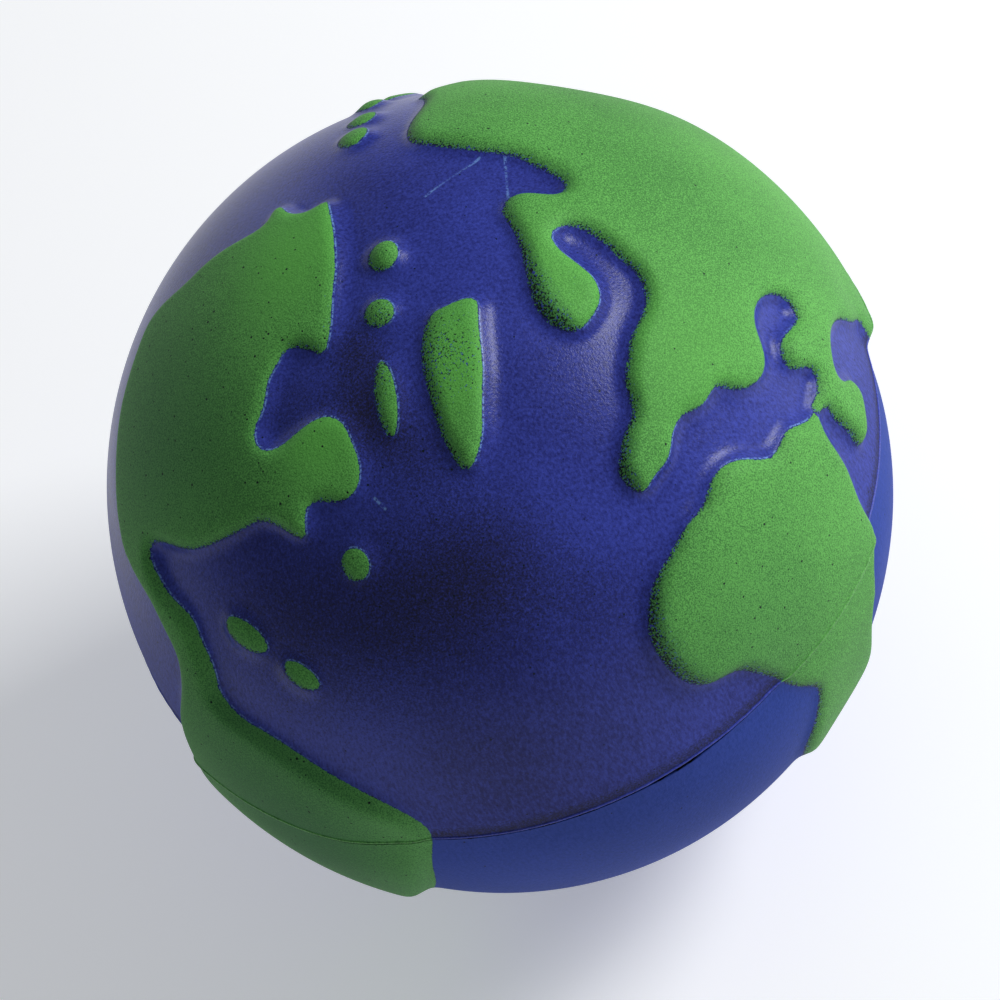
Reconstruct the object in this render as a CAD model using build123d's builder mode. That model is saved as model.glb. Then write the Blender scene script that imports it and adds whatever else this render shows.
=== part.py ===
from build123d import *
from math import cos, radians, sin, tan
import os

# A globe stress ball: one moulded ball of soft foam with a dense blue skin, the lands of a world
# map standing proud of the sea, and a thin line of flash round the equator where the two halves
# of the mould met. The origin is the middle of the ball, +Z is its north pole and -Y is the map
# longitude FRONT_MERIDIAN. Sizes are in millimetres and angles in degrees.

os.makedirs("parts", exist_ok=True)

# Driving sizes
SEA_RADIUS = 35.0  # outside of the blue skin
SKIN = 1.2  # dense skin over the open foam
RELIEF = 1.4  # height of the lands above the sea
FLASH_ROOT = 0.5  # width of the flash where it leaves the ball
FLASH_CREST = 0.2  # and at its top
FLASH_HEIGHT = 0.3
FRONT_MERIDIAN = -30.0

# Worked out from them
LAND_RADIUS = SEA_RADIUS + RELIEF
CORE_RADIUS = SEA_RADIUS - SKIN

# A coast is cut by a cone from the middle of the ball, which runs past the shell by this factor
CONE_RUN = 1.05
# and whose wall has this many flat facets for each point of the coast
RUNS_PER_POINT = 4

# Coasts of the large lands, as (latitude, longitude) on the ball's own map
NORTH_AMERICA = [
    (66, 171), (68, 170), (70, 171), (73, 166), (73, 156), (75.5, 157), (83, -175), (84, -149),
    (83, -120), (78, -92), (76, -91), (75, -103), (73, -110), (71, -108.5), (69, -107), (65.5, -102),
    (61.5, -99), (60.5, -95), (61.5, -91), (63.5, -88), (66.5, -83), (68, -76.5), (67.5, -71),
    (65, -66.5), (61, -63.5), (58.5, -64.5), (56.5, -69), (55.5, -77), (51, -77), (51.5, -87.5),
    (49.5, -92), (45, -98.5), (41, -105), (38.5, -111.5), (36.5, -114), (34.5, -113.5), (33, -110.5),
    (32, -106), (31.5, -101.5), (29, -98.5), (26, -96), (22, -94.5), (17, -94), (12, -98), (12, -103),
    (17, -102.5), (21.5, -102), (24.5, -103), (26.5, -106), (28.5, -111), (29, -118), (30.5, -124),
    (35, -132.5), (40, -142.5), (44.5, -151), (47, -156.5), (55, -162), (59, -167), (65, -175),
    (67, 178.5),
]
SOUTH_AMERICA = [
    (29, -98.5), (26, -96), (22, -94.5), (19.5, -91), (18.5, -86), (16, -79.5), (12, -72.5),
    (7.5, -66.5), (3, -63.5), (-1, -64), (-7, -66), (-14, -68), (-23, -72), (-34, -79), (-45, -86),
    (-54, -91), (-57, -98), (-50, -102), (-38, -100), (-24, -101), (-12, -106), (-4, -106.5),
    (0, -105), (6, -104.5), (11, -104), (16.5, -102.5), (21.5, -102), (24.5, -103), (28, -103),
]
GREENLAND = [
    (77.5, 2.5), (74.5, 9), (73.5, 3.5), (68, -14), (63.5, -23), (59.5, -29), (57.5, -35),
    (61.5, -37.5), (69, -36.5), (76.5, -28.5), (79, -13),
]
EURASIA = [
    (47, 125), (56, 122.5), (61.5, 122.5), (64.5, 120), (66, 112), (66, 100), (64.5, 89), (63, 82),
    (62, 74), (61, 65), (62, 62.5), (67, 66.5), (69.5, 67), (71, 62.5), (71, 52.5), (70, 34.5),
    (68, 19.5), (64.5, 12.5), (61, 13), (59.5, 18.5), (59, 25), (60, 30), (62.5, 34.5), (65, 39),
    (66, 44.5), (64.5, 48.5), (61.5, 48), (59, 44), (56.5, 39), (54, 35), (53, 31), (53, 24),
    (53.5, 17.5), (53, 14), (51.5, 7.5), (49, 3.5), (48, -1.5), (46.5, -5.5), (44, -8.5), (41, -8),
    (41, -4.5), (41, 0), (42.5, 4.5), (42.5, 8.5), (40.5, 13), (39.5, 17.5), (37.5, 18.5), (34, 22),
    (33, 25.5), (34, 29), (35.5, 32), (35.5, 36.5), (32.5, 40.5), (29, 41), (27.5, 39), (29, 35.5),
    (30.5, 32), (29.5, 29.5), (27.5, 29), (24.5, 31), (22.5, 28), (22.5, 24.5), (21.5, 24.5),
    (20.5, 26.5), (18, 26.5), (13, 26.5), (10, 26.5), (9, 28), (10, 31), (12, 34.5), (14.5, 35),
    (16.5, 33.5), (18.5, 33), (19.5, 34.5), (20, 38), (19.5, 40.5), (17.5, 43.5), (9.5, 48.5),
    (6, 51), (1, 51.5), (-5, 56), (-9, 62), (-6, 67), (2, 71), (9, 77), (12, 83), (8, 88), (1, 92),
    (-5, 97), (-3, 101), (5, 100), (9, 103), (6, 108), (12, 113), (20, 115), (28, 120), (35, 118),
    (36, 125), (41, 122),
]
AFRICA = [
    (22.5, 24.5), (24.5, 21), (26.5, 18.5), (27.5, 13), (30, 10.5), (33.5, 6.5), (34, 2.5), (33, -1.5),
    (33, -5.5), (32, -10.5), (30.5, -15.5), (27, -19.5), (24.5, -21), (20, -21.5), (15, -20.5),
    (11.5, -17.5), (10, -13.5), (6.5, -11), (1.5, -8.5), (-2.5, -7), (-6, -5), (-10, -3), (-13.5, -3.5),
    (-18, -5), (-23, -7), (-30, -7), (-36, -2), (-37, 6), (-31, 12), (-22, 12), (-12, 12.5), (-8, 14),
    (-4, 15.5), (-1, 17.5), (1.5, 18.5), (4, 18.5), (8.5, 19), (13.5, 21), (18, 22), (21.5, 24),
]
AUSTRALIA = [
    (-11, 143), (-17, 140), (-12, 136), (-12, 130), (-17, 123), (-21, 115), (-27, 114), (-34, 116),
    (-32, 126), (-35, 136), (-39, 142), (-38, 148), (-30, 153), (-22, 150), (-17, 146),
]
ANTARCTICA = [
    (-70, 0), (-69, 30), (-66, 60), (-67, 90), (-66, 120), (-70, 150), (-78, 170), (-78, -160),
    (-74, -130), (-73, -100), (-70, -78), (-64, -62), (-70, -60), (-77, -48), (-75, -22),
]

# Each land's coast, with the middle of the map sheet that it is drawn on
LANDS = {
    "north_america": ((60, -110), NORTH_AMERICA),
    "south_america": ((-14, -88), SOUTH_AMERICA),
    "greenland": ((68, -20), GREENLAND),
    "eurasia": ((38, 62), EURASIA),
    "africa": ((4, 2), AFRICA),
    "australia": ((-25, 134), AUSTRALIA),
    "antarctica": ((-89, 0), ANTARCTICA),
}

# The two Americas meet on a great circle across the isthmus, from its west coast to its east,
# and Africa stops where it meets Eurasia
ISTHMUS = ((21.5, -102), (22, -94.5))

# Islands are ovals, each with its middle as (latitude, longitude), then its length, its width and
# the compass heading of its length
ISLANDS = {
    "arctic_island_west": ((88, 105), 4.8, 4.6, 0),
    "arctic_island_east": ((83, -54), 4.6, 4.2, 90),
    "baffin_island": ((70.5, -53.5), 11, 3.4, 178),
    "newfoundland": ((48, -65.5), 4.8, 4.4, 0),
    "cuba": ((34, -88.5), 7.6, 4, 106),
    "hispaniola": ((30.5, -77.5), 6, 3.4, 117),
    "kamchatka": ((58.5, 139), 6, 4.8, 0),
    "sakhalin": ((51.5, 137), 5.2, 4.6, 0),
    "hokkaido": ((41.5, 136.5), 5, 4.4, 0),
    "honshu": ((33, 133), 9, 4, 25),
    "taiwan": ((21, 123), 4.5, 3.4, 10),
    "philippines": ((9, 123), 11, 4, 160),
    "borneo": ((-2, 113), 9, 7.5, 30),
    "sumatra": ((-12, 105), 13, 4, 130),
    "new_guinea": ((-5, 137), 17, 6, 108),
    "tasmania": ((-44, 146), 4.5, 4, 0),
    "new_zealand_north": ((-37, 174), 8, 3.6, 145),
    "new_zealand_south": ((-45, 168), 9, 3.8, 38),
    "madagascar": ((-46, 28), 9, 4, 18),
}


def place(latitude, longitude):
    """The unit vector from the middle of the ball to a place on its map."""
    turn = radians(longitude - FRONT_MERIDIAN)
    level = cos(radians(latitude))
    return Vector(level * sin(turn), -level * cos(turn), sin(radians(latitude)))


def map_sheet(middle, reach):
    """The plane square to the ball's radius through a place, with its x axis to the east."""
    outward = place(*middle)
    return Plane(origin=outward * reach, x_dir=Vector(0, 0, 1).cross(outward), z_dir=outward)


def on_sheet(sheet, spot):
    """Where the radius through a place meets a map sheet, in the sheet's own x and y."""
    ray = place(*spot)
    hit = ray * (sheet.origin.dot(sheet.z_dir) / ray.dot(sheet.z_dir))
    return sheet.to_local_coords(hit)


def trim_to_shell(middle, low, high):
    """Keep the part in work only between two spheres, whose seams lie away from its place."""
    sheet = map_sheet(middle, 0)
    with Locations(Plane(origin=(0, 0, 0), x_dir=-sheet.z_dir, z_dir=sheet.x_dir)):
        Sphere(high, mode=Mode.INTERSECT)
        Sphere(low, mode=Mode.SUBTRACT)


def draw_coast(points):
    """Draw a smooth closed curve through points as short straight runs, which make flat walls."""
    shore = Spline(points, periodic=True, mode=Mode.PRIVATE)
    runs = RUNS_PER_POINT * len(points)
    Polyline([shore.position_at(run / runs) for run in range(runs)], close=True)


def raised_land(middle, coast, low, high):
    """A land with a drawn coast, as a patch of the shell between two radii."""
    outward = place(*middle)
    spread = min(place(*spot).dot(outward) for spot in coast)
    with BuildPart() as land:
        for reach in (low * spread / CONE_RUN, high * CONE_RUN):
            sheet = map_sheet(middle, reach)
            with BuildSketch(sheet):
                with BuildLine():
                    draw_coast([on_sheet(sheet, spot) for spot in coast])
                make_face()
        loft(ruled=True)
        trim_to_shell(middle, low, high)
    return land.part


def raised_oval(middle, length, width, heading, low, high):
    """An oval island, as a patch of the shell between two radii."""
    with BuildPart() as island:
        for reach in (low / CONE_RUN, high * CONE_RUN):
            with BuildSketch(map_sheet(middle, reach)):
                half_length = reach * tan(radians(length / 2))
                half_width = reach * tan(radians(width / 2))
                Ellipse(half_width, half_length, rotation=-heading)
        loft(ruled=True)
        trim_to_shell(middle, low, high)
    return island.part


def kept_side(whole, border, side):
    """The part of a land on one side of the great circle through two places."""
    first, second = border
    with BuildPart() as kept:
        add(whole)
        split(bisect_by=Plane(origin=(0, 0, 0), z_dir=place(*first).cross(place(*second))), keep=side)
    return kept.part


def clear_of(whole, neighbour):
    """The part of a land that its neighbour leaves."""
    with BuildPart() as left:
        add(whole)
        add(neighbour, mode=Mode.SUBTRACT)
    return left.part


def raise_lands(low, high):
    """Every land and island by name, as patches of the shell between two radii."""
    raised = {name: raised_land(*land, low, high) for name, land in LANDS.items()}
    raised["north_america"] = kept_side(raised["north_america"], ISTHMUS, Keep.TOP)
    raised["south_america"] = kept_side(raised["south_america"], ISTHMUS, Keep.BOTTOM)
    raised["africa"] = clear_of(raised["africa"], raised["eurasia"])
    for name, oval in ISLANDS.items():
        raised[name] = raised_oval(*oval, low, high)
    return raised


def flash_ring(radius):
    """A bead of flash all round the equator, seated on a sphere."""
    with BuildPart() as ring:
        with BuildSketch(Plane.XZ):
            with BuildLine():
                Polyline(
                    (radius - FLASH_HEIGHT, -FLASH_ROOT / 2),
                    (radius, -FLASH_ROOT / 2),
                    (radius + FLASH_HEIGHT, -FLASH_CREST / 2),
                    (radius + FLASH_HEIGHT, FLASH_CREST / 2),
                    (radius, FLASH_ROOT / 2),
                    (radius - FLASH_HEIGHT, FLASH_ROOT / 2),
                    close=True,
                )
            make_face()
        revolve(axis=Axis.Z)
        Sphere(radius, mode=Mode.SUBTRACT)
    return ring.part


def finish(piece, name):
    """Name a finished piece and write it as its own file."""
    piece.label = name
    export_step(piece, f"parts/{name}.step")


# The foam inside, and the dense skin that it formed against the mould
with BuildPart() as foam_core:
    Sphere(CORE_RADIUS)
finish(foam_core.part, "foam_core")

with BuildPart() as ocean_skin:
    Sphere(SEA_RADIUS)
    Sphere(CORE_RADIUS, mode=Mode.SUBTRACT)
finish(ocean_skin.part, "ocean_skin")

# The lands and islands, each seated on the skin
lands = raise_lands(SEA_RADIUS, LAND_RADIUS)
for name, land in lands.items():
    finish(land, name)

# The flash lies on the sea between the lands and runs on over the top of each land it crosses
with BuildPart() as parting_flash:
    add(flash_ring(SEA_RADIUS))
    for land in lands.values():
        add(land, mode=Mode.SUBTRACT)
    for top in raise_lands(LAND_RADIUS, LAND_RADIUS + 2 * FLASH_HEIGHT).values():
        box = top.bounding_box()
        if box.min.Z < 0 < box.max.Z:
            add(top.intersect(flash_ring(LAND_RADIUS)))
finish(parting_flash.part, "parting_flash")
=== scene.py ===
from math import asin, cos, pi, radians, sin, tan

import bpy
import numpy as np
from mathutils import Matrix, Vector
from mathutils.bvhtree import BVHTree
from mathutils.kdtree import KDTree


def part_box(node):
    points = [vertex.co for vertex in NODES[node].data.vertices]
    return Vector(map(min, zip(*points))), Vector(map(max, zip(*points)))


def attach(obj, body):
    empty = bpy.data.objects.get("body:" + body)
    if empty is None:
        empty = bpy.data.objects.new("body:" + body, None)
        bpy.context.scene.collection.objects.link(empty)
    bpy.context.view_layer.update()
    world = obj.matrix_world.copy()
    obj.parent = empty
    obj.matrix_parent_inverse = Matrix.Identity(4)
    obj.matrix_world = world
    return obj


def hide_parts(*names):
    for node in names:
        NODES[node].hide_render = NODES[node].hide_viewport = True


# A globe stress ball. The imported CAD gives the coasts, the radii and the row frame (+Z is the
# globe's north pole, -Y faces the viewer's meridian). This script models the ball's real skin:
# rounded relief, the gap and bead of the mould's parting line, and the two coats of paint.
# Lengths are in metres.

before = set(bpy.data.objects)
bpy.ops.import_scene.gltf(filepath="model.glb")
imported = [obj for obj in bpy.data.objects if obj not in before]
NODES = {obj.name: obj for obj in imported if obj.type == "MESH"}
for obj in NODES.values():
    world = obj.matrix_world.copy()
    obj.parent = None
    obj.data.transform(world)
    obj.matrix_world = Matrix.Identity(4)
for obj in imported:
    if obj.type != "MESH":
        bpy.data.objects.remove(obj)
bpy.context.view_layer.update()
MM = 0.001

# ---------------------------------------------------------------- the camera's place and axes
VIEW_ELEVATION = radians(53.1)  # of the line from the ball to the camera, over the equator
VIEW_ROLL = radians(28.9)  # how far the globe's pole leans to the left in the picture
VIEW_BACK = Vector((0, -cos(VIEW_ELEVATION), sin(VIEW_ELEVATION)))
POLE_UP = Vector((0, sin(VIEW_ELEVATION), cos(VIEW_ELEVATION)))
EAST = Vector((1, 0, 0))
VIEW_UP = POLE_UP * cos(VIEW_ROLL) + EAST * sin(VIEW_ROLL)
VIEW_RIGHT = EAST * cos(VIEW_ROLL) - POLE_UP * sin(VIEW_ROLL)


def from_view(right, up, back):
    """A direction given along the picture's right, its up and the way back to the camera."""
    return VIEW_RIGHT * right + VIEW_UP * up + VIEW_BACK * back


def spot_on_ball(right, up):
    """The unit vector to the place on the near side that stands this share of the radius right and up."""
    return np.array(from_view(right, up, (1 - right * right - up * up) ** 0.5))


# ---------------------------------------------------------------- what the CAD says
def mesh_arrays(node):
    """(corners, triangles) of a CAD node, with corners that coincide made one."""
    mesh = NODES[node].data
    mesh.calc_loop_triangles()
    corners = np.empty(len(mesh.vertices) * 3, np.float32)
    mesh.vertices.foreach_get("co", corners)
    triangles = np.empty(len(mesh.loop_triangles) * 3, np.int32)
    mesh.loop_triangles.foreach_get("vertices", triangles)
    corners = corners.reshape(-1, 3).astype(float)
    merged, index = np.unique(np.round(corners, 7), axis=0, return_inverse=True)
    return merged, index.ravel()[triangles.reshape(-1, 3)]


BALL_PARTS = ("foam_core", "ocean_skin", "parting_flash")
LANDS = sorted(set(NODES) - set(BALL_PARTS))
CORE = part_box("foam_core")[1].z
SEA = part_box("ocean_skin")[1].z
LAND = max(np.linalg.norm(mesh_arrays(node)[0], axis=1).max() for node in LANDS)
RELIEF = LAND - SEA


def unit(rows):
    return rows / np.linalg.norm(rows, axis=-1, keepdims=True)


def land_tops():
    """The outer faces of all lands as one (corners, triangles), and the land each one is of."""
    corners, triangles, owners, start = [], [], [], 0
    for number, node in enumerate(LANDS):
        places, faces = mesh_arrays(node)
        outer = np.linalg.norm(places, axis=1) > LAND - RELIEF * 0.1
        faces = faces[outer[faces].all(axis=1)]
        corners.append(places)
        triangles.append(faces + start)
        owners.append(np.full(len(faces), number))
        start += len(places)
    return np.concatenate(corners), np.concatenate(triangles), np.concatenate(owners)


TOPS, TOP_FACES, TOP_OWNERS = land_tops()
TOP_TREE = BVHTree.FromPolygons(TOPS.tolist(), TOP_FACES.tolist())
CENTRE = Vector((0, 0, 0))


def land_at(directions):
    """The number of the land over each direction from the middle of the ball, or -1 at sea."""
    found = np.full(len(directions), -1)
    for number, direction in enumerate(directions.tolist()):
        face = TOP_TREE.ray_cast(CENTRE, direction)[2]
        if face is not None:
            found[number] = TOP_OWNERS[face]
    return found


SHORTEST_RUN = 0.001 * MM
JUST_OUTSIDE = 0.15 * MM  # where it is tested whether a land's edge has sea beyond it


def coast_runs():
    """The straight runs of every coast, as unit vectors to their two ends. Where two lands join
    there is no coast."""
    edges = np.concatenate([TOP_FACES[:, [0, 1]], TOP_FACES[:, [1, 2]], TOP_FACES[:, [2, 0]]])
    thirds = np.concatenate([TOP_FACES[:, 2], TOP_FACES[:, 0], TOP_FACES[:, 1]])
    _, first, count = np.unique(np.sort(edges, axis=1), axis=0, return_index=True, return_counts=True)
    first = first[count == 1]
    edges, thirds = edges[first], thirds[first]
    start, end = TOPS[edges[:, 0]], TOPS[edges[:, 1]]
    long_enough = np.linalg.norm(end - start, axis=1) > SHORTEST_RUN
    start, end, third = start[long_enough], end[long_enough], TOPS[thirds[long_enough]]
    middle = (start + end) / 2
    along = unit(end - start)
    inward = third - middle
    inward = unit(inward - along * (inward * along).sum(1, keepdims=True))
    at_sea = land_at(unit(middle - inward * JUST_OUTSIDE)) < 0
    return unit(start[at_sea]), unit(end[at_sea])


RUN_START, RUN_END = coast_runs()
RUN_STEP = 0.1 * MM / SEA  # spacing of the points that find the nearest run


def run_tree():
    lengths = np.linalg.norm(RUN_END - RUN_START, axis=1)
    counts = np.maximum(1, np.ceil(lengths / RUN_STEP)).astype(int)
    owners = np.repeat(np.arange(len(counts)), counts)
    order = np.arange(len(owners)) - np.repeat(np.cumsum(counts) - counts, counts)
    share = ((order + 0.5) / counts[owners])[:, None]
    points = RUN_START[owners] * (1 - share) + RUN_END[owners] * share
    tree = KDTree(len(points))
    for number, point in enumerate(points.tolist()):
        tree.insert(point, number)
    tree.balance()
    return tree, owners


RUN_TREE, RUN_OWNERS = run_tree()


def coast_measure(directions):
    """For each direction: the distance to the coast at sea level, positive on land; the land's
    number or -1; and the unit vector along the ball's surface that points out to sea."""
    nearest = np.array([RUN_TREE.find(direction)[1] for direction in directions.tolist()])
    run = RUN_OWNERS[nearest]
    start, span = RUN_START[run], RUN_END[run] - RUN_START[run]
    share = ((directions - start) * span).sum(1) / (span * span).sum(1)
    foot = start + span * np.clip(share, 0, 1)[:, None]
    lands = land_at(directions)
    sign = np.where(lands >= 0, 1.0, -1.0)
    gap = foot - directions
    distance = np.linalg.norm(gap, axis=1)
    seaward = gap * (sign / np.maximum(distance, 1e-9))[:, None]
    return distance * SEA * sign, lands, seaward


# ---------------------------------------------------------------- a sphere with a finer mesh in places
def icosphere(levels):
    golden = (1 + 5**0.5) / 2
    corners = [
        (-1, golden, 0), (1, golden, 0), (-1, -golden, 0), (1, -golden, 0),
        (0, -1, golden), (0, 1, golden), (0, -1, -golden), (0, 1, -golden),
        (golden, 0, -1), (golden, 0, 1), (-golden, 0, -1), (-golden, 0, 1),
    ]
    faces = [
        (0, 11, 5), (0, 5, 1), (0, 1, 7), (0, 7, 10), (0, 10, 11),
        (1, 5, 9), (5, 11, 4), (11, 10, 2), (10, 7, 6), (7, 1, 8),
        (3, 9, 4), (3, 4, 2), (3, 2, 6), (3, 6, 8), (3, 8, 9),
        (4, 9, 5), (2, 4, 11), (6, 2, 10), (8, 6, 7), (9, 8, 1),
    ]
    corners, faces = unit(np.array(corners, float)), np.array(faces)
    for _ in range(levels):
        corners, faces = split_edges(corners, faces, np.full((len(faces), 3), True))
    return corners, faces


def split_edges(corners, faces, marked):
    """Splits the marked edges of a sphere's triangles, so that neighbours still share every
    corner. marked has a column for each triangle's edges 01, 12 and 20."""
    pairs = np.stack([faces, np.roll(faces, -1, axis=1)], axis=2)
    keys = np.sort(pairs.reshape(-1, 2), axis=1)
    chosen, where = np.unique(keys[marked.ravel()], axis=0, return_inverse=True)
    middles = np.full(len(keys), -1)
    middles[marked.ravel()] = where.ravel() + len(corners)
    middles = middles.reshape(-1, 3)
    corners = np.concatenate([corners, unit(corners[chosen[:, 0]] + corners[chosen[:, 1]])])
    # turn every triangle so that its pattern starts at its first edge
    count = marked.sum(1)
    turn = np.where(count == 1, marked.argmax(1), 0)
    turn = np.where(count == 2, ((~marked).argmax(1) + 1) % 3, turn)
    rows = np.arange(len(faces))[:, None]
    columns = (np.arange(3)[None, :] + turn[:, None]) % 3
    a, b, c = faces[rows, columns].T
    ab, bc, ca = middles[rows, columns].T
    one, two, three = count == 1, count == 2, count == 3
    made = [
        faces[count == 0],
        np.stack([a[one], ab[one], c[one]], 1), np.stack([ab[one], b[one], c[one]], 1),
        np.stack([ab[two], b[two], bc[two]], 1), np.stack([a[two], ab[two], c[two]], 1),
        np.stack([ab[two], bc[two], c[two]], 1),
        np.stack([a[three], ab[three], ca[three]], 1), np.stack([ab[three], b[three], bc[three]], 1),
        np.stack([ca[three], bc[three], c[three]], 1), np.stack([ab[three], bc[three], ca[three]], 1),
    ]
    return corners, np.concatenate(made)


TOO_LONG = 1.4  # an edge is split when it is this many times the length wanted there


class Sphere:
    """A unit sphere of triangles, with the coast measured at every corner."""

    def __init__(self, wanted_edge, base_levels=5, most_levels=5):
        self.corners, self.faces = icosphere(base_levels)
        self.coast, self.lands, self.seaward = coast_measure(self.corners)
        for _ in range(most_levels):
            ends = np.stack([self.faces, np.roll(self.faces, -1, axis=1)], axis=2)
            length = np.linalg.norm(self.corners[ends[..., 0]] - self.corners[ends[..., 1]], axis=2) * SEA
            wanted = wanted_edge(self.coast, self.corners)
            marked = length > np.minimum(wanted[ends[..., 0]], wanted[ends[..., 1]]) * TOO_LONG
            if not marked.any():
                break
            old = len(self.corners)
            self.corners, self.faces = split_edges(self.corners, self.faces, marked)
            coast, lands, seaward = coast_measure(self.corners[old:])
            self.coast = np.concatenate([self.coast, coast])
            self.lands = np.concatenate([self.lands, lands])
            self.seaward = np.concatenate([self.seaward, seaward])


# ---------------------------------------------------------------- the shape of the skin
def smooth(low, high, value):
    """0 at low, 1 at high and a soft step between them."""
    share = np.clip((value - low) / (high - low), 0, 1)
    return share * share * (3 - 2 * share)


FRONT_LONGITUDE = -30  # the one that faces -Y


def place(latitude, longitude):
    """The unit vector to a place on the ball's own map, from degrees north and east."""
    latitude, turn = radians(latitude), radians(longitude - FRONT_LONGITUDE)
    return np.array([cos(latitude) * sin(turn), -cos(latitude) * cos(turn), sin(latitude)])


# The raised shapes in the mould and the painter's masks don't quite meet: over the north the
# relief stands this far to the picture's upper right of its green, and over South America the
# other way.
MISFIT_NORTH = np.array(from_view(0.75, 0.5, 0)) * 0.4 * MM
MISFIT_SOUTH_AMERICA = np.array(from_view(-0.9, -0.5, 0)) * 1.2 * MM
SLOPE_SPREAD = 0.58 * MM  # how far the mould's edges are rounded off, as a standard deviation
# Places where the foam has sunk: (latitude, longitude), reach in mm, share of the relief lost
SUNKEN = (
    ((28, 107), 8.0, 0.75),
    ((35, 128), 5.0, 0.6),
    ((52, 138), 9.0, 0.6),
    ((-14, 2), 9.0, 0.65),
    ((29, 107), 3.0, 0.3),
    ((9, 51), 4.0, 0.3),
    ((0, -8), 5.0, 0.55),
    ((0, -66), 4.5, 0.65),
    ((75, -60), 9.0, 0.6),
    ((60, -60), 6.0, 0.6),
    ((48, -65), 4.0, 0.6),
    ((34, -88), 5.0, 0.5),
    ((31, -77), 5.0, 0.5),
    ((-32, 3), 6.0, 0.35),
)
COAST_SLOPE = 0.3 * MM  # half the width of a land's edge in the mould, before it is rounded off
SOUTH_AMERICA_MIDDLE = place(-6, -88)
SOUTH_AMERICA_REACH = 0.75  # in radii of the ball
RELIEF_LEVELS = 7  # how often the mesh that carries the relief is split


def neighbour_table(count, faces):
    """The corners next to each corner of a sphere's even mesh. A corner with five repeats its last."""
    pairs = np.concatenate([faces[:, [0, 1]], faces[:, [1, 2]], faces[:, [2, 0]]])
    pairs = pairs[np.argsort(pairs[:, 0], kind="stable")]
    starts = np.searchsorted(pairs[:, 0], np.arange(count))
    counts = np.diff(np.append(starts, len(pairs)))
    columns = np.minimum(np.arange(6)[None, :], counts[:, None] - 1)
    return pairs[starts[:, None] + columns, 1]


class Relief:
    """The height of the rounded lands, worked out on an even mesh and read off between its corners."""

    def __init__(self):
        self.corners, self.faces = icosphere(RELIEF_LEVELS)
        around = neighbour_table(len(self.corners), self.faces)
        away = np.linalg.norm(self.corners - SOUTH_AMERICA_MIDDLE, axis=1) / SOUTH_AMERICA_REACH
        south = np.exp(-(away**6))[:, None]
        misfit = MISFIT_NORTH * (1 - south) + MISFIT_SOUTH_AMERICA * south
        coast = coast_measure(unit(self.corners - misfit / SEA))[0]
        height = smooth(-COAST_SLOPE, COAST_SLOPE, coast)
        spacing = np.linalg.norm(self.corners[around] - self.corners[:, None], axis=2).mean() * SEA
        # each round of averaging with the neighbours spreads the height by half the spacing
        for _ in range(round((SLOPE_SPREAD / (spacing / 2)) ** 2)):
            height = (height + height[around].mean(1)) / 2
        for spot, reach, share in SUNKEN:
            away = np.linalg.norm(self.corners - place(*spot), axis=1) * SEA / (reach * MM)
            height = height * (1 - share * np.exp(-(away**2)))
        self.height = height * RELIEF
        step = self.corners[around] - self.corners[:, None]
        rise = (self.height[around] - self.height[:, None])[..., None]
        self.slope = (rise * step).sum(1) / ((step * step).sum((1, 2)) / 2)[:, None]
        self.tree = BVHTree.FromPolygons(self.corners.tolist(), self.faces.tolist())

    def at(self, directions):
        """The height of the relief over each direction."""
        hits = [self.tree.ray_cast(CENTRE, direction) for direction in directions.tolist()]
        face = self.faces[[hit[2] for hit in hits]]
        foot = np.array([hit[0] for hit in hits])
        a, b, c = self.corners[face[:, 0]], self.corners[face[:, 1]], self.corners[face[:, 2]]
        whole = np.linalg.norm(np.cross(b - a, c - a), axis=1)
        opposite = ((b, c), (c, a), (a, b))
        shares = [np.linalg.norm(np.cross(q - foot, r - foot), axis=1) / whole for q, r in opposite]
        total = np.zeros(len(directions))
        for column, share in enumerate(shares):
            corner = face[:, column]
            lean = (self.slope[corner] * (foot - self.corners[corner])).sum(1) / 2
            total += share * (self.height[corner] + lean)
        return total


LANDFORM = Relief()
# The soft ball has settled a little out of round: it is narrow along one axis
NARROW_TILT = radians(11.5)  # of the axis, up from the picture's right
NARROW_AXIS = np.array(from_view(cos(NARROW_TILT), sin(NARROW_TILT), 0))
NARROWING = 0.0255
WIDENING = 0.0077

GAP_DEPTH = 0.7 * MM
GAP_LINE = -0.14 * MM  # height of the middle of the gap under the bead
# Half the gap's width: by Africa, what the sea further west adds, what its widest place adds, and
# on South America
GAP_BY_AFRICA = 0.09 * MM
GAP_WEST = 0.07 * MM
GAP_WIDEST = 0.2 * MM
GAP_ON_LAND = 0.1 * MM
WIDEST_LONGITUDE = -26
WIDEST_REACH = 6  # degrees
STEP_DOWN = 0.12 * MM  # how far the southern half stands back beside the parting line


def gap_width(directions, coast):
    """Half the width of the open gap along the parting line: widest in the sea east of South
    America, thin on that land, and closed over Africa."""
    longitude = np.degrees(np.arctan2(directions[:, 0], -directions[:, 1])) + FRONT_LONGITUDE
    wide = np.exp(-(((longitude - WIDEST_LONGITUDE) / WIDEST_REACH) ** 2))
    at_sea = smooth(0.6 * MM, -0.6 * MM, coast)
    west = smooth(-12, -22, longitude)
    sea_width = GAP_BY_AFRICA + GAP_WEST * west + GAP_WIDEST * wide
    land_width = GAP_ON_LAND * smooth(-30, -50, longitude)
    return sea_width * at_sea + land_width * (1 - at_sea)


def ball_height(directions):
    """The radius of the ball with its lands, before the parting line's marks."""
    roundness = 1 + WIDENING - NARROWING * (directions @ NARROW_AXIS) ** 2
    return (SEA + LANDFORM.at(directions)) * roundness


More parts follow.
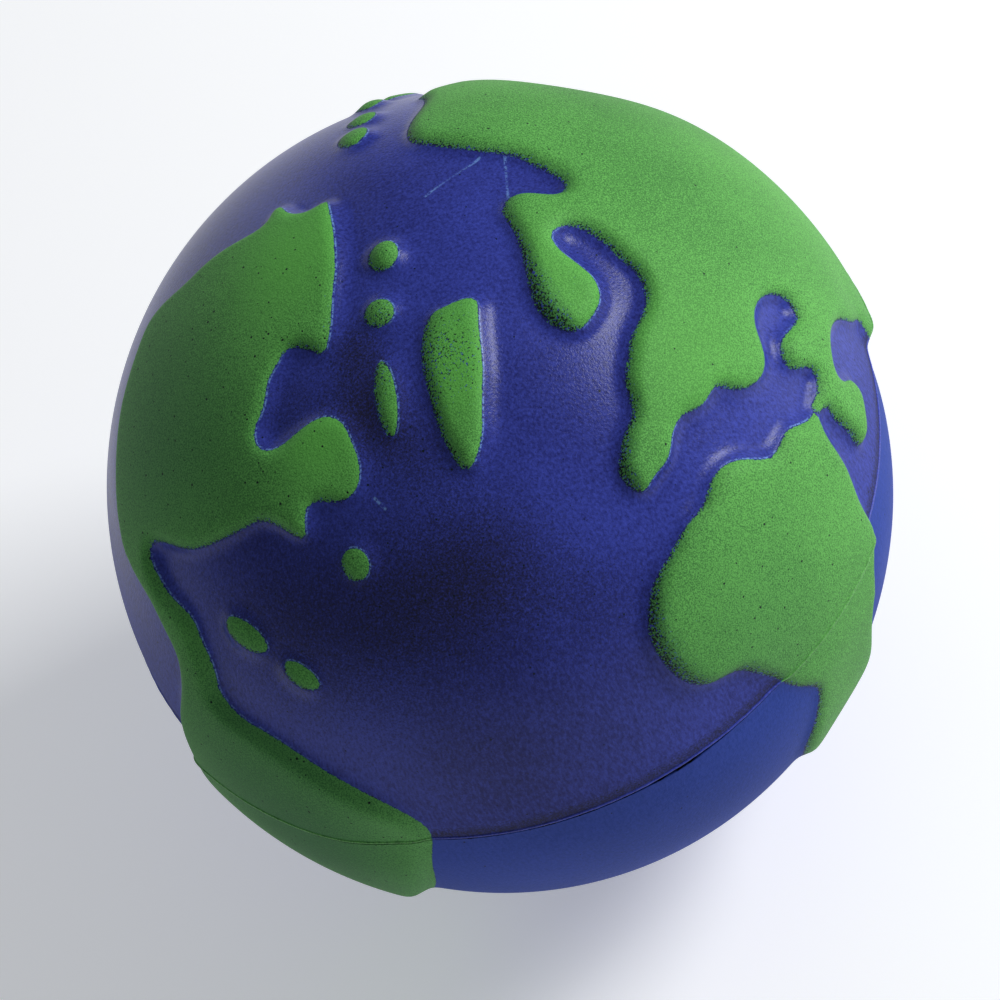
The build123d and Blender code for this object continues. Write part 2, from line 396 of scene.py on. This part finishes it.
def skin_height(directions, coast):
    """The radius of the ball's outer surface."""
    z = directions[:, 2] * SEA
    width = gap_width(directions, coast)
    gap = smooth(1.3, 0.8, np.abs(z - GAP_LINE) / np.maximum(width, 0.05 * MM))
    step = STEP_DOWN * smooth(0.1 * MM, -0.5 * MM, z) * smooth(-6 * MM, -0.5 * MM, z)
    return ball_height(directions) - GAP_DEPTH * gap * smooth(0, 0.12 * MM, width) - step


# ---------------------------------------------------------------- meshes
def build(name, corners, faces, attributes=None, normals=None):
    """A piece made of triangles, with a number at each corner for every attribute."""
    mesh = bpy.data.meshes.new(name)
    mesh.vertices.add(len(corners))
    mesh.vertices.foreach_set("co", np.ascontiguousarray(corners, np.float32).ravel())
    mesh.loops.add(len(faces) * 3)
    mesh.loops.foreach_set("vertex_index", np.ascontiguousarray(faces, np.int32).ravel())
    mesh.polygons.add(len(faces))
    mesh.polygons.foreach_set("loop_start", np.arange(0, len(faces) * 3, 3, dtype=np.int32))
    mesh.update(calc_edges=True)
    mesh.validate()
    mesh.shade_smooth()
    for key, values in (attributes or {}).items():
        data = mesh.attributes.new(key, "FLOAT", "POINT")
        data.data.foreach_set("value", np.ascontiguousarray(values, np.float32))
    if normals is not None:
        mesh.normals_split_custom_set_from_vertices(normals.tolist())
    piece = bpy.data.objects.new(name, mesh)
    bpy.context.scene.collection.objects.link(piece)
    return piece


def corner_normals(corners, faces):
    a, b, c = corners[faces[:, 0]], corners[faces[:, 1]], corners[faces[:, 2]]
    across = np.cross(b - a, c - a)
    total = np.zeros_like(corners)
    for column in range(3):
        np.add.at(total, faces[:, column], across)
    return unit(total)


# Which way a coast faces decides how its paint ends: the green was sprayed from the picture's
# upper right, so coasts that face the lower left fade out through pores, and others are crisp
SHADED_SIDE = np.array(from_view(-0.77, -0.64, 0))


# Soft patches in the paint: (place as shares of the radius to the picture's right and up), reach
# in mm, and strength. On the blue a patch over 0 is darker navy. On the green a patch over 0 is
# painted shade, a darker green, and one under 0 is painted light, a brighter green.
BLUE_PATCHES = (
    ((-0.03, -0.19), 7.5, 0.5), ((-0.5, -0.33), 9, 0.42), ((-0.2, -0.42), 8, 0.2),
    ((-0.3, 0.16), 4.5, 0.3), ((-0.5, 0.2), 3, 0.3), ((-0.345, 0.34), 3, 0.5),
    ((-0.33, 0.2), 3.5, 0.35), ((-0.2, 0.08), 4, 0.25), ((0.25, -0.275), 5, 0.25),
    ((-0.25, -0.25), 6, 0.2), ((0, -0.65), 9, 0.15),
)
# painted light and shade on the green: dark patches low and on the left, bright ones higher up
GREEN_PATCHES = (
    ((-0.84, 0.1), 11, 0.6), ((-0.6, -0.7), 13, 0.75), ((-0.35, -0.9), 9, 0.5),
    ((-0.5, 0.55), 6, -0.9), ((-0.11, 0.3), 5, -0.9), ((-0.42, 0.12), 4, -0.8),
    ((0.15, 0.5), 6, -0.5), ((0.45, 0.3), 7, -0.4), ((0.6, -0.35), 9, 0.3),
)
# Where the green fades out over a wider band than usual
WIDE_FADES = (
    ((0.08, 0.42), 4.5, 2.2), ((0.42, -0.38), 8, 1.4), ((0.32, 0.08), 4, 0.9), ((-0.18, 0.27), 4, 0.6),
)
# where it has many pinholes
PITTED = (
    ((-0.6, 0.35), 17, 1), ((-0.5, -0.7), 12, 0.6), ((0.6, -0.25), 9, 0.45), ((-0.1, 0.3), 5, 0.25),
)
# and where it is thin all over
THIN_GREEN = (
    ((-0.11, 0.3), 4.5, 0.5), ((-0.3, 0.35), 6, 0.75), ((0.12, 0.42), 4, 0.3), ((0.4, -0.4), 6, 0.3),
)
FADE_WIDTH = 0.8  # mm, elsewhere
FEW_PINHOLES = 0.12
PAINTED_BOUNCE_PATCH = -0.6  # the patch value of the southern half: painted bounce light, a brighter blue for the light from the floor below


def patches(directions, spots):
    """The sum of the soft spots at each direction."""
    total = np.zeros(len(directions))
    for spot, reach, amount in spots:
        away = np.linalg.norm(directions - spot_on_ball(*spot), axis=1) * SEA / (reach * MM)
        total += amount * np.exp(-(away**2))
    return total


# Thin pale scratches in the blue, from one place to another as shares of the radius right and up
SCRATCHES = (
    ((-0.18, 0.71), (-0.05, 0.8)), ((-0.005, 0.925), (0.012, 0.8)), ((0.012, 0.8), (0.02, 0.69)),
    ((-0.3, -0.02), (-0.275, -0.045)),
)


def line_distance(directions, lines):
    """How far each direction is from the nearest of the lines, along the sea."""
    nearest = np.full(len(directions), 1.0)
    for start, end in lines:
        first, last = spot_on_ball(*start), spot_on_ball(*end)
        span = last - first
        share = np.clip((directions - first) @ span / (span @ span), 0, 1)
        nearest = np.minimum(nearest, np.linalg.norm(directions - first - share[:, None] * span, axis=1))
    return nearest * SEA


def sea_patches(directions):
    """Darker navy patches on the northern half, with a band of them just above the parting line, and
    the southern half's painted bounce light: a brighter blue for the light from the floor below."""
    z = directions[:, 2] * SEA / MM
    above = np.exp(-(((z - 0.7) / 0.9) ** 2)) * 0.55
    north = smooth(-0.2, 0.3, z)
    # the southern half gets painted bounce light in place of the patches
    return (patches(directions, BLUE_PATCHES) + above) * north + PAINTED_BOUNCE_PATCH * (1 - north)


def paint_values(coast, seaward, corners, on_land):
    """What the materials need to know at each corner, with lengths in mm."""
    return {
        "coast": coast / MM,
        "shaded": (seaward * SHADED_SIDE).sum(1),
        "parting": corners[:, 2] * SEA / MM,
        "patch": patches(corners, GREEN_PATCHES) if on_land else sea_patches(corners),
        "fade": FADE_WIDTH + patches(corners, WIDE_FADES),
        "pitted": FEW_PINHOLES + patches(corners, PITTED),
        "thin": patches(corners, THIN_GREEN),
        "gap": gap_width(corners, coast) / MM,
        "scratch": line_distance(corners, SCRATCHES) / MM,
    }


TUCK = 0.25 * MM  # how deep a land's edge reaches into the skin
LIFT = 0.004 * MM  # how far a land's paint stands over the skin at its edge

# The mesh edges wanted on the skin
EDGE_UNDER_LAND = 1.6 * MM
EDGE_AT_SEA = 0.55 * MM
EDGE_BY_COAST = 0.3 * MM
EDGE_BY_LINE = 0.16 * MM
EDGE_IN_GAP = 0.09 * MM
EDGE_BY_SCRATCH = 0.1 * MM
# and on the lands
EDGE_NOT_LAND = 3 * MM
EDGE_ON_LAND = 0.5 * MM
EDGE_BY_SHORE = 0.25 * MM


def wanted_for_skin(coast, corners):
    z = corners[:, 2] * SEA
    edge = np.where(coast < 0, EDGE_AT_SEA, EDGE_UNDER_LAND)
    edge = np.where(np.abs(coast + 0.4 * MM) < 1.35 * MM, EDGE_BY_COAST, edge)
    edge = np.where(np.abs(z) < 0.45 * MM, EDGE_BY_LINE, edge)
    in_gap = np.abs(z - GAP_LINE) < 1.4 * gap_width(corners, coast) + 0.05 * MM
    edge = np.where(in_gap, EDGE_IN_GAP, edge)
    return np.where(line_distance(corners, SCRATCHES) < 0.6 * MM, EDGE_BY_SCRATCH, edge)


NO_PAINT = -9.0  # the attributes' value on the skin's inside


def make_ocean_skin():
    """The skin: a shell whose outside is the sea and what lies under the lands."""
    ball = Sphere(wanted_for_skin)
    radius = skin_height(ball.corners, ball.coast)
    radius -= TUCK * smooth(0.15 * MM, 0.6 * MM, ball.coast)
    outer = ball.corners * radius[:, None]
    inner, inner_faces = icosphere(4)
    corners = np.concatenate([outer, inner * CORE])
    faces = np.concatenate([ball.faces, inner_faces[:, ::-1] + len(outer)])
    values = paint_values(ball.coast, ball.seaward, ball.corners, False)
    values = {key: np.concatenate([value, np.full(len(inner), NO_PAINT)]) for key, value in values.items()}
    return build("sea_skin", corners, faces, values)


def wanted_for_lands(coast, corners):
    z = corners[:, 2] * SEA
    edge = np.where(coast < -0.6 * MM, EDGE_NOT_LAND, EDGE_ON_LAND)
    edge = np.where(np.abs(coast) < 1.2 * MM, EDGE_BY_SHORE, edge)
    return np.where((np.abs(z) < 0.8 * MM) & (coast > -0.6 * MM), EDGE_BY_LINE, edge)


def make_lands():
    """The lands, all cut out of one sphere's mesh."""
    ball = Sphere(wanted_for_lands)
    radius = skin_height(ball.corners, ball.coast) + LIFT
    surface = ball.corners * radius[:, None]
    normals = corner_normals(surface, ball.faces)
    values = paint_values(ball.coast, ball.seaward, ball.corners, True)
    inside = ball.lands[ball.faces] >= 0
    count = inside.sum(1)
    # each triangle goes to one land: the one that most of its corners on land are in
    owner = np.sort(ball.lands[ball.faces], axis=1)
    owner = np.where((count == 3) & (owner[:, 0] == owner[:, 1]), owner[:, 0], owner[:, 2])
    pieces = []
    for number, node in enumerate(LANDS):
        pieces.append(land_piece(node, number, ball, surface, normals, values, inside, count, owner))
    return pieces


def land_piece(node, number, ball, surface, normals, values, inside, count, owner):
    """A land cut out of the sphere's mesh along its coast, as a closed thin shell."""
    mine = owner == number
    whole = ball.faces[mine & (count == 3)]
    cut = mine & (count > 0) & (count < 3)
    faces, kept = ball.faces[cut], inside[cut]
    # turn each cut triangle so that its odd corner comes first
    single = kept.sum(1) == 1
    odd = np.where(single, kept.argmax(1), (~kept).argmax(1))
    faces = faces[np.arange(len(faces))[:, None], (np.arange(3)[None, :] + odd[:, None]) % 3]
    # the coast crosses the two edges that meet there
    edges = np.concatenate([faces[:, [0, 1]], faces[:, [0, 2]]])
    keys, where = np.unique(np.sort(edges, axis=1), axis=0, return_inverse=True)
    where = where.ravel() + len(surface)
    a, b = ball.coast[keys[:, 0]], ball.coast[keys[:, 1]]
    share = np.clip(a / (a - b), 0.02, 0.98)

    def with_crossings(array):
        weight = share if array.ndim == 1 else share[:, None]
        crossings = array[keys[:, 0]] * (1 - weight) + array[keys[:, 1]] * weight
        return np.concatenate([array, crossings])

    p, q, r = faces.T
    pq, pr = where[: len(faces)], where[len(faces) :]
    tops = np.concatenate([
        whole,
        np.stack([p, pq, pr], 1)[single],
        np.stack([pq, q, r], 1)[~single],
        np.stack([pq, r, pr], 1)[~single],
    ])
    used, index = np.unique(tops, return_inverse=True)
    corners, normal = with_crossings(surface)[used], unit(with_crossings(normals)[used])
    piece_values = {key: with_crossings(value)[used] for key, value in values.items()}
    return closed_shell(node + "_land", corners, index.reshape(-1, 3), normal, piece_values)


def closed_shell(name, corners, tops, normal, values):
    """Gives a land's top an underside and a side wall, which go down into the skin."""
    under = corners * (1 - TUCK * 1.2 / np.linalg.norm(corners, axis=1))[:, None]
    around = np.concatenate([tops[:, [0, 1]], tops[:, [1, 2]], tops[:, [2, 0]]])
    _, at, times = np.unique(np.sort(around, axis=1), axis=0, return_index=True, return_counts=True)
    rim = around[at[times == 1]]
    size = len(corners)
    rim_ids, rim_index = np.unique(rim, return_inverse=True)
    rim_index = rim_index.reshape(-1, 2)
    # the side wall has its own copy of the rim's upper corners, so that the top stays smooth
    wall_top = rim_index + 2 * size
    wall_low = wall_top + len(rim_ids)
    all_corners = np.concatenate([corners, under, corners[rim_ids], under[rim_ids]])
    out = unit(corners[rim_ids])
    all_normals = np.concatenate([normal, -normal, out, out])
    all_faces = np.concatenate([
        tops,
        tops[:, ::-1] + size,
        np.stack([wall_top[:, 1], wall_top[:, 0], wall_low[:, 0]], 1),
        np.stack([wall_top[:, 1], wall_low[:, 0], wall_low[:, 1]], 1),
    ])
    all_values = {
        key: np.concatenate([value, value, value[rim_ids], value[rim_ids]]) for key, value in values.items()
    }
    return build(name, all_corners, all_faces, all_values, all_normals)


BEAD_LINE = 0.15 * MM
BEAD_HALF = 0.12 * MM
BEAD_HEIGHT = 0.14 * MM
BEAD_ROOT = 0.3 * MM  # how deep it reaches into the skin
BEAD_STATIONS = 2400
BEAD_RIBS = 9
# How the bead wanders: (amount, waves round the ball, start)
WANDER = ((0.04, 23, 0), (0.03, 57, 1), (0.03, 131, 2))


def make_flash():
    """The bead of flash: a low rounded ridge that follows the skin round the equator."""
    turn = np.linspace(0, 2 * pi, BEAD_STATIONS, endpoint=False)
    wander = sum(amount * np.sin(turn * waves + start) for amount, waves, start in WANDER)
    height = BEAD_HEIGHT * (0.75 + 1.6 * wander)
    middle = unit(np.stack([np.sin(turn), -np.cos(turn), np.full(BEAD_STATIONS, BEAD_LINE / SEA)], 1))
    coast, _, seaward = coast_measure(middle)
    base = ball_height(middle)
    rings = []
    for angle in np.linspace(0, pi, BEAD_RIBS):
        z = BEAD_LINE + BEAD_HALF * cos(angle) + wander * 0.5 * MM
        directions = unit(np.stack([np.sin(turn), -np.cos(turn), z / SEA], 1))
        rings.append(directions * (base + height * sin(angle))[:, None])
    rings.append(middle * (base - BEAD_ROOT)[:, None])
    count = len(rings)
    index = np.arange(BEAD_STATIONS)
    after = (index + 1) % BEAD_STATIONS
    faces = []
    for ring in range(count):
        this = ring * BEAD_STATIONS
        that = ((ring + 1) % count) * BEAD_STATIONS
        faces.append(np.stack([this + index, that + after, this + after], 1))
        faces.append(np.stack([this + index, that + index, that + after], 1))
    corners = np.concatenate(rings)
    values = paint_values(np.tile(coast, count), np.tile(seaward, (count, 1)), unit(corners), False)
    return build("parting_bead", corners, np.concatenate(faces), values)


CORE_GAP = 0.1 * MM  # between the foam and the skin


def make_core():
    """The foam inside: a plain ball, whose open cells are in its material."""
    corners, faces = icosphere(6)
    return build("foam_inside", corners * (CORE - CORE_GAP), faces)


# ---------------------------------------------------------------- materials
def new_material(name):
    material = bpy.data.materials.new(name)
    material.use_nodes = True
    tree = material.node_tree
    return material, tree, tree.nodes["Principled BSDF"]


class Nodes:
    """Short calls that add nodes to a tree and link them."""

    def __init__(self, tree):
        self.tree = tree

    def add(self, kind, **settings):
        node = self.tree.nodes.new(kind)
        for key, value in settings.items():
            setattr(node, key, value)
        return node

    def put(self, socket, value):
        if isinstance(value, bpy.types.NodeSocket):
            self.tree.links.new(value, socket)
        else:
            socket.default_value = value

    def math(self, operation, *values, clamp=False):
        node = self.add("ShaderNodeMath", operation=operation, use_clamp=clamp)
        for socket, value in zip(node.inputs, values):
            self.put(socket, value)
        return node.outputs[0]

    def noise(self, vector, scale, detail, roughness):
        node = self.add("ShaderNodeTexNoise")
        self.put(node.inputs["Vector"], vector)
        self.put(node.inputs["Scale"], scale)
        self.put(node.inputs["Detail"], detail)
        self.put(node.inputs["Roughness"], roughness)
        return node.outputs["Fac"]

    def cells(self, vector, scale):
        """(distance to the middle of the nearest cell, that cell's own colour)."""
        node = self.add("ShaderNodeTexVoronoi")
        self.put(node.inputs["Vector"], vector)
        self.put(node.inputs["Scale"], scale)
        return node.outputs["Distance"], node.outputs["Color"]

    def swing(self, value, noise, amount):
        """value plus a noise of 0 to 1 that is centred on zero and scaled by amount."""
        swing = self.math("MULTIPLY", self.math("SUBTRACT", noise, 0.5), amount)
        return self.math("ADD", value, swing)

    def range(self, value, low, high, to_low=0.0, to_high=1.0):
        """value mapped from low..high to to_low..to_high, and held at their ends."""
        node = self.add("ShaderNodeMapRange")
        for socket, number in zip(node.inputs, (value, low, high, to_low, to_high)):
            self.put(socket, number)
        return node.outputs[0]

    def mix(self, share, first, second):
        node = self.add("ShaderNodeMix", data_type="RGBA")
        self.put(node.inputs[0], share)
        self.put(node.inputs[6], first)
        self.put(node.inputs[7], second)
        return node.outputs[2]

    def stretched(self, vector, across, along):
        """Coordinates for streaks that run from pole to pole."""
        node = self.add("ShaderNodeMapping")
        self.put(node.inputs["Vector"], vector)
        node.inputs["Scale"].default_value = (across, across, along)
        return node.outputs[0]

    def value(self, name):
        return self.add("ShaderNodeAttribute", attribute_name=name).outputs["Fac"]

    def place(self):
        return self.add("ShaderNodeTexCoord").outputs["Object"]

    def bump(self, height, distance):
        node = self.add("ShaderNodeBump")
        self.put(node.inputs["Strength"], 1.0)
        self.put(node.inputs["Distance"], distance)
        self.put(node.inputs["Height"], height)
        return node.outputs[0]


BLUE = ((0.013, 0.017, 0.13, 1), (0.039, 0.056, 0.345, 1))  # its darker and lighter streaks
PAINTED_BOUNCE_BLUE = (0.006, 0.045, 0.29, 1)  # painted bounce light: the southern half's blue, made brighter for the light from the floor below
NAVY = (0.013, 0.013, 0.042, 1)
GREEN = ((0.046, 0.18, 0.038, 1), (0.118, 0.395, 0.08, 1))  # its darker and lighter grains
# the darker green serves as painted shade and as thin green by shaded coasts, the brighter one as painted
# light
DARK_GREEN_SHADE_AND_THIN_COAT = (0.03, 0.115, 0.045, 1)
PAINTED_LIGHT_GREEN = (0.11, 0.43, 0.06, 1)
PORE = (0.004, 0.009, 0.01, 1)
# painted shade for the inside of the parting line's gap
GAP_SHADE_BLACK = (0.001, 0.001, 0.002, 1)
RIM_BLUE = (0.2, 0.38, 0.75, 1)  # the pale edge beside crisp coasts, and scratches
# painted highlight: the bead's blue is brighter than the skin's, standing for the light on its top
PAINTED_LIT_BEAD_BLUE = ((0.02, 0.03, 0.24, 1), (0.045, 0.07, 0.45, 1))

# Scales of the patterns in the paint, in features per metre
GRAIN_SCALE = 8000
FINE_SCALE = 5600
RAGGED_SCALE = 4000
PINHOLE_SCALE = 2200
MIDDLE_SCALE = 900
BROAD_SCALE = 60
STREAK_SCALES = (3800, 1500)  # across the streaks and along them
PINHOLE_SHARE = 0.22  # of the cells that have a pinhole where the green is most pitted


def pinholes(n, where, size, pitted):
    """A mask of small holes of many sizes, at most this size, in some of the pinhole cells."""
    distance, colour = n.cells(where, PINHOLE_SCALE)
    lot = n.add("ShaderNodeSeparateColor")
    n.put(lot.inputs[0], colour)
    there = n.math("LESS_THAN", lot.outputs[0], n.math("MULTIPLY", pitted, PINHOLE_SHARE))
    reach = n.range(lot.outputs[1], 0, 1, size * 0.35, size)
    hole = n.range(n.math("DIVIDE", distance, reach), 1.0, 0.6)
    return n.math("MULTIPLY", hole, there)


def blue_paint(n, where, fine, broad):
    """Streaky satin blue. A patch value over 0 darkens it with navy grains, and one under 0
    lightens it with painted bounce light."""
    darkening_and_painted_bounce = n.value("patch")
    streaks = n.noise(n.stretched(where, *STREAK_SCALES), 1.0, 3, 0.65)
    tone = n.math("ADD", n.math("MULTIPLY", streaks, 0.65), n.math("MULTIPLY", broad, 0.35))
    blue = n.mix(n.range(tone, 0.36, 0.64), *BLUE)
    # painted bounce light: where the patch value is under 0 the blue turns to the brighter southern blue
    blue = n.mix(n.math("MULTIPLY", darkening_and_painted_bounce, -1.0, clamp=True), blue, PAINTED_BOUNCE_BLUE)
    blue = n.mix(n.range(n.swing(darkening_and_painted_bounce, fine, 1.6), 0.15, 0.75), blue, NAVY)
    specks = n.math("ADD", n.math("MULTIPLY", darkening_and_painted_bounce, 0.8, clamp=True), FEW_PINHOLES)
    return n.mix(pinholes(n, where, 0.3, specks), blue, PORE)


def green_paint(n, where, broad):
    """Grainy matte green with pinholes. A patch value over 0 darkens it as painted shade, and one under 0
    brightens it as painted light.
    """
    painted_light_and_shade = n.value("patch")
    grain = n.noise(where, GRAIN_SCALE, 1, 0.5)
    tone = n.math("ADD", n.math("MULTIPLY", grain, 0.75), n.math("MULTIPLY", broad, 0.25))
    green = n.mix(n.range(tone, 0.4, 0.6), *GREEN)
    # painted light and shade: brighter green where the patch value is under 0, darker where it is over 0
    green = n.mix(n.math("MULTIPLY", painted_light_and_shade, -0.7, clamp=True), green, PAINTED_LIGHT_GREEN)
    green = n.mix(n.math("MULTIPLY", painted_light_and_shade, 0.85, clamp=True), green, DARK_GREEN_SHADE_AND_THIN_COAT)
    return n.mix(pinholes(n, where, 0.32, n.value("pitted")), green, PORE)


def land_colour(n, where, fine, broad, ragged):
    """Green that fades into dark pores on shaded coasts, with blue along its ragged edge."""
    coast, shaded = n.value("coast"), n.value("shaded")
    green = green_paint(n, where, broad)
    width = n.math("MULTIPLY", n.range(shaded, -0.1, 0.9, 0.1, 1.0), n.value("fade"))
    fade = n.math("DIVIDE", coast, width)
    green = n.mix(n.range(fade, 0.0, 1.3, 0.45, 0), green, DARK_GREEN_SHADE_AND_THIN_COAT)
    cover = n.math("MINIMUM", fade, n.math("SUBTRACT", 1.2, n.value("thin")))
    blue = n.mix(n.range(ragged, 0.4, 0.6), *BLUE)
    gaps = n.mix(n.range(ragged, 0.52, 0.62), PORE, blue)
    colour = n.mix(n.range(n.swing(cover, fine, 3.2), 0.1, 0.45), gaps, green)
    edge = n.swing(coast, ragged, n.range(shaded, -0.2, 0.5, 0.4, 1.2))
    return n.mix(n.range(edge, 0.02, 0.06), blue, colour)


def sea_colour(n, where, fine, broad, ragged):
    """Blue with a pale rim beside crisp coasts, scratches, and specks beside shaded coasts."""
    coast, shaded = n.value("coast"), n.value("shaded")
    blue = blue_paint(n, where, fine, broad)
    rim = n.math("MULTIPLY", n.range(coast, -0.16, -0.05), n.range(shaded, 0.1, -0.4, 0, 0.65))
    rim = n.math("MULTIPLY", rim, n.range(n.value("parting"), 8, 14))
    blue = n.mix(n.math("MULTIPLY", rim, n.range(ragged, 0.44, 0.56)), blue, RIM_BLUE)
    scratch = n.range(n.value("scratch"), 0.18, 0.06)
    scratch = n.math("MULTIPLY", scratch, n.range(ragged, 0.4, 0.52, 0, 0.5))
    blue = n.mix(scratch, blue, RIM_BLUE)
    spill = n.math("DIVIDE", coast, n.range(shaded, 0, 1, 0.1, 0.4))
    return n.mix(n.range(n.swing(spill, fine, 3.2), 0.2, 0.4), blue, PORE)


def painted(name, on_land):
    """The ball's paint, green on the lands and blue at sea, and black in the parting line's gap as painted
    shade inside the deep slit.
    """
    material, tree, shader = new_material(name)
    n = Nodes(tree)
    where = n.place()
    fine = n.noise(where, FINE_SCALE, 2, 0.65)
    middle = n.noise(where, MIDDLE_SCALE, 3, 0.6)
    broad = n.noise(where, BROAD_SCALE, 2, 0.5)
    ragged = n.noise(where, RAGGED_SCALE, 2, 0.6)
    colour = (land_colour if on_land else sea_colour)(n, where, fine, broad, ragged)

    # painted shade: the deep slit under the bead is painted black, as the shade inside it
    parting = n.value("parting")
    line = n.math("ABSOLUTE", n.math("ADD", parting, -GAP_LINE / MM))
    line = n.swing(line, middle, 0.2)
    line = n.math("SUBTRACT", line, n.math("MULTIPLY", n.value("gap"), 1.3))
    n.put(shader.inputs["Base Color"], n.mix(n.range(line, 0.03, -0.03), colour, GAP_SHADE_BLACK))
    # the blue is glossier towards the north
    gloss = 0.62 if on_land else n.range(parting, 1, 15, 0.7, 0.31)
    n.put(shader.inputs["Roughness"], n.range(line, 0.03, -0.03, gloss, 1.0))
    shader.inputs["Specular IOR Level"].default_value = 0.15 if on_land else 0.19
    height = n.math("ADD", n.math("MULTIPLY", fine, 0.4), n.math("MULTIPLY", ragged, 0.6))
    n.put(shader.inputs["Normal"], n.bump(height, (0.07 if on_land else 0.045) * MM))
    return material


def flash_paint():
    """The bead of flash: a brighter blue where it stands in the sea, as a painted highlight on the lit
    bead, and green where it crosses land.
    """
    material, tree, shader = new_material("flash_paint")
    n = Nodes(tree)
    grain = n.range(n.noise(n.place(), 5000, 2, 0.6), 0.35, 0.65)
    on_land = n.range(n.value("coast"), -0.1, 0.1)
    # painted highlight: the brighter bead blue at sea
    n.put(shader.inputs["Base Color"], n.mix(on_land, n.mix(grain, *PAINTED_LIT_BEAD_BLUE), n.mix(grain, *GREEN)))
    shader.inputs["Roughness"].default_value = 0.4
    shader.inputs["Specular IOR Level"].default_value = 0.3
    return material


FOAM_WITH_CELL_SHADE = ((0.78, 0.72, 0.5, 1), (0.9, 0.86, 0.68, 1))  # painted shade: darker in the hollow middle of its cells, lighter between them


def foam_material():
    """Pale foam with open cells about 0.7 mm across, with painted shade in the hollow middle of each cell.
    """
    material, tree, shader = new_material("open_foam")
    n = Nodes(tree)
    distance, _ = n.cells(n.place(), 1400)
    # painted shade in the hollow of each cell
    n.put(shader.inputs["Base Color"], n.mix(n.range(distance, 0.2, 0.7), *FOAM_WITH_CELL_SHADE))
    shader.inputs["Roughness"].default_value = 0.9
    n.put(shader.inputs["Normal"], n.bump(distance, 0.1 * MM))
    return material


# ---------------------------------------------------------------- the object
skin_paint = painted("blue_skin_paint", on_land=False)
land_paint = painted("green_land_paint", on_land=True)


def dress(piece, material, slot, *nodes):
    """Gives a piece its material and its body, and hides the CAD nodes it stands for. Its slot is not used.
    """
    piece.data.materials.append(material)
    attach(piece, "root")
    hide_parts(*nodes)


skin = make_ocean_skin()
dress(skin, skin_paint, "blue_skin", "ocean_skin")
for piece, node in zip(make_lands(), LANDS):
    dress(piece, land_paint, "green_land", node)
bead = make_flash()
dress(bead, flash_paint(), "flash", "parting_flash")
core = make_core()
dress(core, foam_material(), "foam", "foam_core")

# ---------------------------------------------------------------- floor, lights and camera
FLOOR_LEVEL = -LAND
FLOOR_HALF = 3.0
FLOOR_TONES = ((0.88, 0.88, 0.88, 1), (0.92, 0.92, 0.92, 1))


def make_floor():
    mesh = bpy.data.meshes.new("floor")
    quarters = ((-1, -1), (1, -1), (1, 1), (-1, 1))
    corners = [(x * FLOOR_HALF, y * FLOOR_HALF, FLOOR_LEVEL) for x, y in quarters]
    mesh.from_pydata(corners, [], [(0, 1, 2, 3)])
    floor = bpy.data.objects.new("floor", mesh)
    bpy.context.scene.collection.objects.link(floor)
    material, tree, shader = new_material("pale_floor")
    n = Nodes(tree)
    tone = n.noise(n.place(), 3, 2, 0.5)
    n.put(shader.inputs["Base Color"], n.mix(tone, *FLOOR_TONES))
    shader.inputs["Roughness"].default_value = 0.9
    shader.inputs["Emission Color"].default_value = (1, 1, 1, 1)
    shader.inputs["Emission Strength"].default_value = 0.3
    mesh.materials.append(material)


def area_light(name, direction, distance, size, power, colour=(1, 1, 1)):
    data = bpy.data.lights.new(name, "AREA")
    data.shape = "RECTANGLE"
    data.size, data.size_y = size
    data.energy = power
    data.color = colour
    light = bpy.data.objects.new(name, data)
    light.location = direction.normalized() * distance
    light.rotation_mode = "QUATERNION"
    light.rotation_quaternion = direction.to_track_quat("Z", "Y")  # it shines along its own -Z
    bpy.context.scene.collection.objects.link(light)


def make_lights():
    area_light("key", from_view(0.62, 0.62, 0.48), 0.5, (0.2, 0.2), 2.5)
    area_light("left_rim", from_view(-0.9, 0.6, -0.45), 0.6, (0.5, 0.5), 0.8, (0.85, 0.88, 1))
    world = bpy.data.worlds.new("studio")
    world.use_nodes = True
    background = world.node_tree.nodes["Background"]
    background.inputs["Color"].default_value = (0.86, 0.93, 1, 1)
    background.inputs["Strength"].default_value = 0.22
    bpy.context.scene.world = world


CAMERA_DISTANCE = 25 * SEA
PICTURE_RADIUS = 0.4  # the sea's radius, as a share of the picture's width
AIM_BELOW = 0.024 * SEA  # the picture's middle lies this far under the ball's


def make_camera():
    data = bpy.data.cameras.new("camera")
    data.sensor_width = 36
    half_angle = asin(SEA / CAMERA_DISTANCE)
    data.lens = data.sensor_width * PICTURE_RADIUS / tan(half_angle)
    data.clip_start, data.clip_end = 0.05, 20
    camera = bpy.data.objects.new("camera", data)
    axes = Matrix((VIEW_RIGHT, VIEW_UP, VIEW_BACK)).transposed()
    spot = VIEW_BACK * CAMERA_DISTANCE - VIEW_UP * AIM_BELOW
    camera.matrix_world = Matrix.Translation(spot) @ axes.to_4x4()
    bpy.context.scene.collection.objects.link(camera)
    bpy.context.scene.camera = camera


make_floor()
make_lights()
make_camera()
bpy.context.scene.view_settings.view_transform = "Standard"
